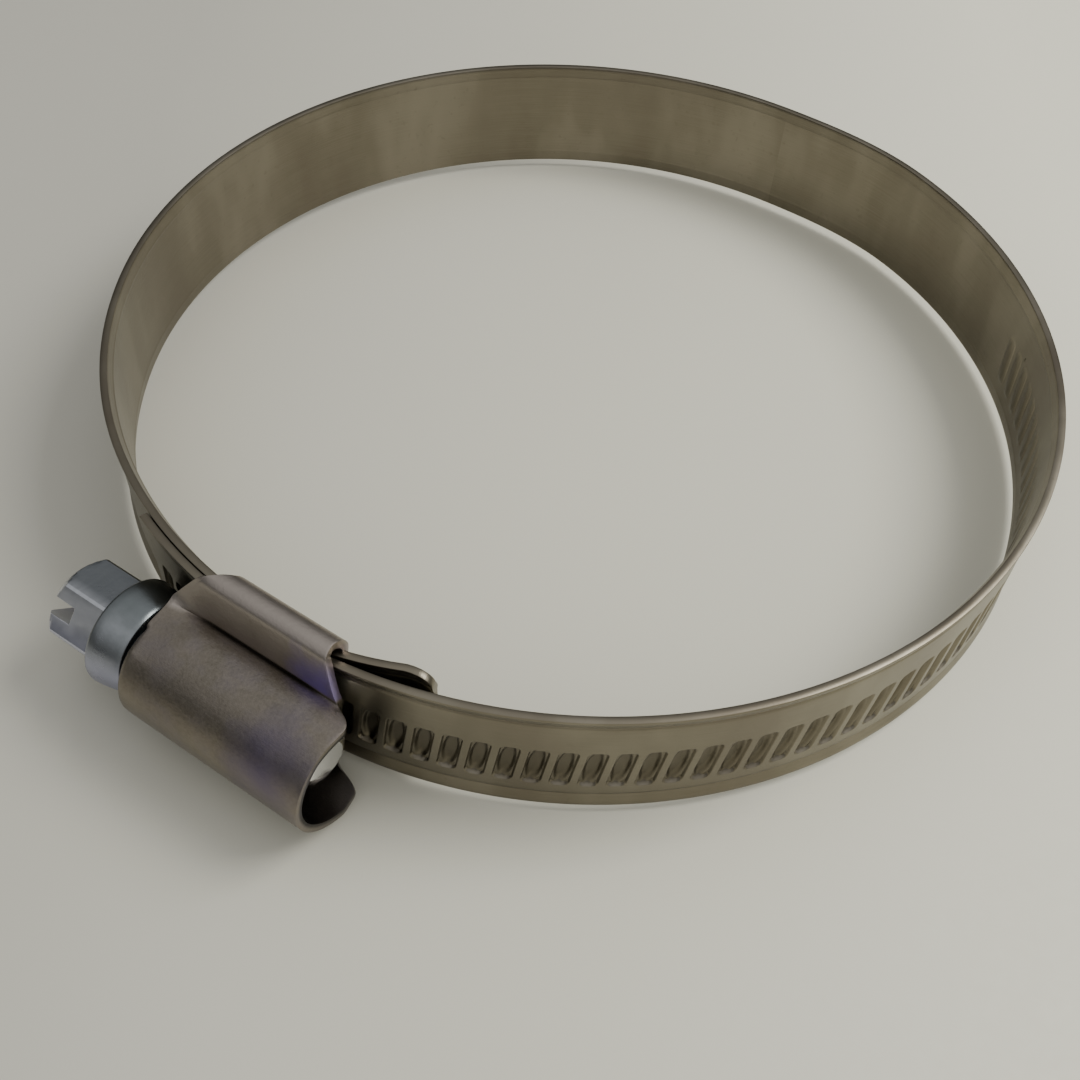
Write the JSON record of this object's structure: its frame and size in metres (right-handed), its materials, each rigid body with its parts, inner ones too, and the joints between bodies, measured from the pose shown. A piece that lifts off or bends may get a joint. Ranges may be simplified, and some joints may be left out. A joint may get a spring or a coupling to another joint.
{
  "type": "hose clamp",
  "caption": "Worm-drive hose clamp: a stainless band bent into a ring, its pocketed end drawn through a pressed housing by a slotted hex-head screw.",
  "frame": {"origin": "centre of the clamped bore, at the middle of the band's width", "axes": "+Z along the bore axis; the housing is at -Y; the screw runs along X with its head at -X"},
  "size_m": [0.0862, 0.0945, 0.0146],
  "materials": {
    "stainless_band": "rolled, semi-bright",
    "stainless_housing": "pressed, satin",
    "zinc_screw": "bright zinc plating"
  },
  "bodies": {
    "housing": {"housing": "stainless_housing", "band_fixed_end": "stainless_band"},
    "screw": {"worm_screw": "zinc_screw"},
    "threaded_end": {"band_threaded_end": "stainless_band"},
    "band_link_left_1": {"band_link_left_1": "stainless_band"},
    "band_link_left_2": {"band_link_left_2": "stainless_band"},
    "band_link_left_3": {"band_link_left_3": "stainless_band"},
    "band_link_left_4": {"band_link_left_4": "stainless_band"},
    "band_link_left_5": {"band_link_left_5": "stainless_band"},
    "band_link_left_6": {"band_link_left_6": "stainless_band"},
    "band_link_left_7": {"band_link_left_7": "stainless_band"},
    "band_link_right_1": {"band_link_right_1": "stainless_band"},
    "band_link_right_2": {"band_link_right_2": "stainless_band"},
    "band_link_right_3": {"band_link_right_3": "stainless_band"},
    "band_link_right_4": {"band_link_right_4": "stainless_band"},
    "band_link_right_5": {"band_link_right_5": "stainless_band"},
    "band_link_right_6": {"band_link_right_6": "stainless_band"}
  },
  "joints": [
    {"name": "threaded_end_slide", "type": "hinge", "parent": "housing", "child": "threaded_end", "pos_m": [0, 0, 0], "axis": [0, 0, 1], "range_deg": [-34.2, 8.55]},
    {"name": "screw_turn", "type": "hinge", "parent": "housing", "child": "screw", "pos_m": [0, -0.0467, -0.00075], "axis": [1, 0, 0], "range_deg": [-1090, 4360]},
    {"name": "left_flex_1", "type": "hinge", "parent": "housing", "child": "band_link_left_1", "pos_m": [-0.01988, -0.03739, 0], "axis": [0, 0, 1], "range_deg": [-3.29, 0.82]},
    {"name": "left_flex_2", "type": "hinge", "parent": "band_link_left_1", "child": "band_link_left_2", "pos_m": [-0.03231, -0.02738, 0], "axis": [0, 0, 1], "range_deg": [-2.83, 0.71]},
    {"name": "left_flex_3", "type": "hinge", "parent": "band_link_left_2", "child": "band_link_left_3", "pos_m": [-0.04014, -0.01349, 0], "axis": [0, 0, 1], "range_deg": [-2.57, 0.64]},
    {"name": "left_flex_4", "type": "hinge", "parent": "band_link_left_3", "child": "band_link_left_4", "pos_m": [-0.04229, 0.00232, 0], "axis": [0, 0, 1], "range_deg": [-2.47, 0.62]},
    {"name": "left_flex_5", "type": "hinge", "parent": "band_link_left_4", "child": "band_link_left_5", "pos_m": [-0.03843, 0.0178, 0], "axis": [0, 0, 1], "range_deg": [-2.46, 0.61]},
    {"name": "left_flex_6", "type": "hinge", "parent": "band_link_left_5", "child": "band_link_left_6", "pos_m": [-0.02911, 0.03076, 0], "axis": [0, 0, 1], "range_deg": [-2.48, 0.62]},
    {"name": "left_flex_7", "type": "hinge", "parent": "band_link_left_6", "child": "band_link_left_7", "pos_m": [-0.01567, 0.03934, 0], "axis": [0, 0, 1], "range_deg": [-2.48, 0.62]},
    {"name": "right_flex_1", "type": "hinge", "parent": "threaded_end", "child": "band_link_right_1", "pos_m": [0.03555, -0.02437, 0], "axis": [0, 0, 1], "range_deg": [-0.8, 3.2]},
    {"name": "right_flex_2", "type": "hinge", "parent": "band_link_right_1", "child": "band_link_right_2", "pos_m": [0.04173, -0.01077, 0], "axis": [0, 0, 1], "range_deg": [-0.69, 2.78]},
    {"name": "right_flex_3", "type": "hinge", "parent": "band_link_right_2", "child": "band_link_right_3", "pos_m": [0.0429, 0.00411, 0], "axis": [0, 0, 1], "range_deg": [-0.63, 2.52]},
    {"name": "right_flex_4", "type": "hinge", "parent": "band_link_right_3", "child": "band_link_right_4", "pos_m": [0.03893, 0.0185, 0], "axis": [0, 0, 1], "range_deg": [-0.6, 2.4]},
    {"name": "right_flex_5", "type": "hinge", "parent": "band_link_right_4", "child": "band_link_right_5", "pos_m": [0.02942, 0.0315, 0], "axis": [0, 0, 1], "range_deg": [-0.6, 2.39]},
    {"name": "right_flex_6", "type": "hinge", "parent": "band_link_right_5", "child": "band_link_right_6", "pos_m": [0.01581, 0.04009, 0], "axis": [0, 0, 1], "range_deg": [-0.6, 2.42]}
  ],
  "couplings": [
    {"joint": "screw_turn", "follows": "threaded_end_slide", "ratio": -126.32},
    {"joint": "left_flex_1", "follows": "threaded_end_slide", "ratio": 0.094175},
    {"joint": "left_flex_2", "follows": "threaded_end_slide", "ratio": 0.081263},
    {"joint": "left_flex_3", "follows": "threaded_end_slide", "ratio": 0.073789},
    {"joint": "left_flex_4", "follows": "threaded_end_slide", "ratio": 0.070702},
    {"joint": "left_flex_5", "follows": "threaded_end_slide", "ratio": 0.070421},
    {"joint": "left_flex_6", "follows": "threaded_end_slide", "ratio": 0.071088},
    {"joint": "left_flex_7", "follows": "threaded_end_slide", "ratio": 0.071158},
    {"joint": "right_flex_1", "follows": "threaded_end_slide", "ratio": -0.091789},
    {"joint": "right_flex_2", "follows": "threaded_end_slide", "ratio": -0.079579},
    {"joint": "right_flex_3", "follows": "threaded_end_slide", "ratio": -0.072246},
    {"joint": "right_flex_4", "follows": "threaded_end_slide", "ratio": -0.068947},
    {"joint": "right_flex_5", "follows": "threaded_end_slide", "ratio": -0.068421},
    {"joint": "right_flex_6", "follows": "threaded_end_slide", "ratio": -0.069228}
  ]
}
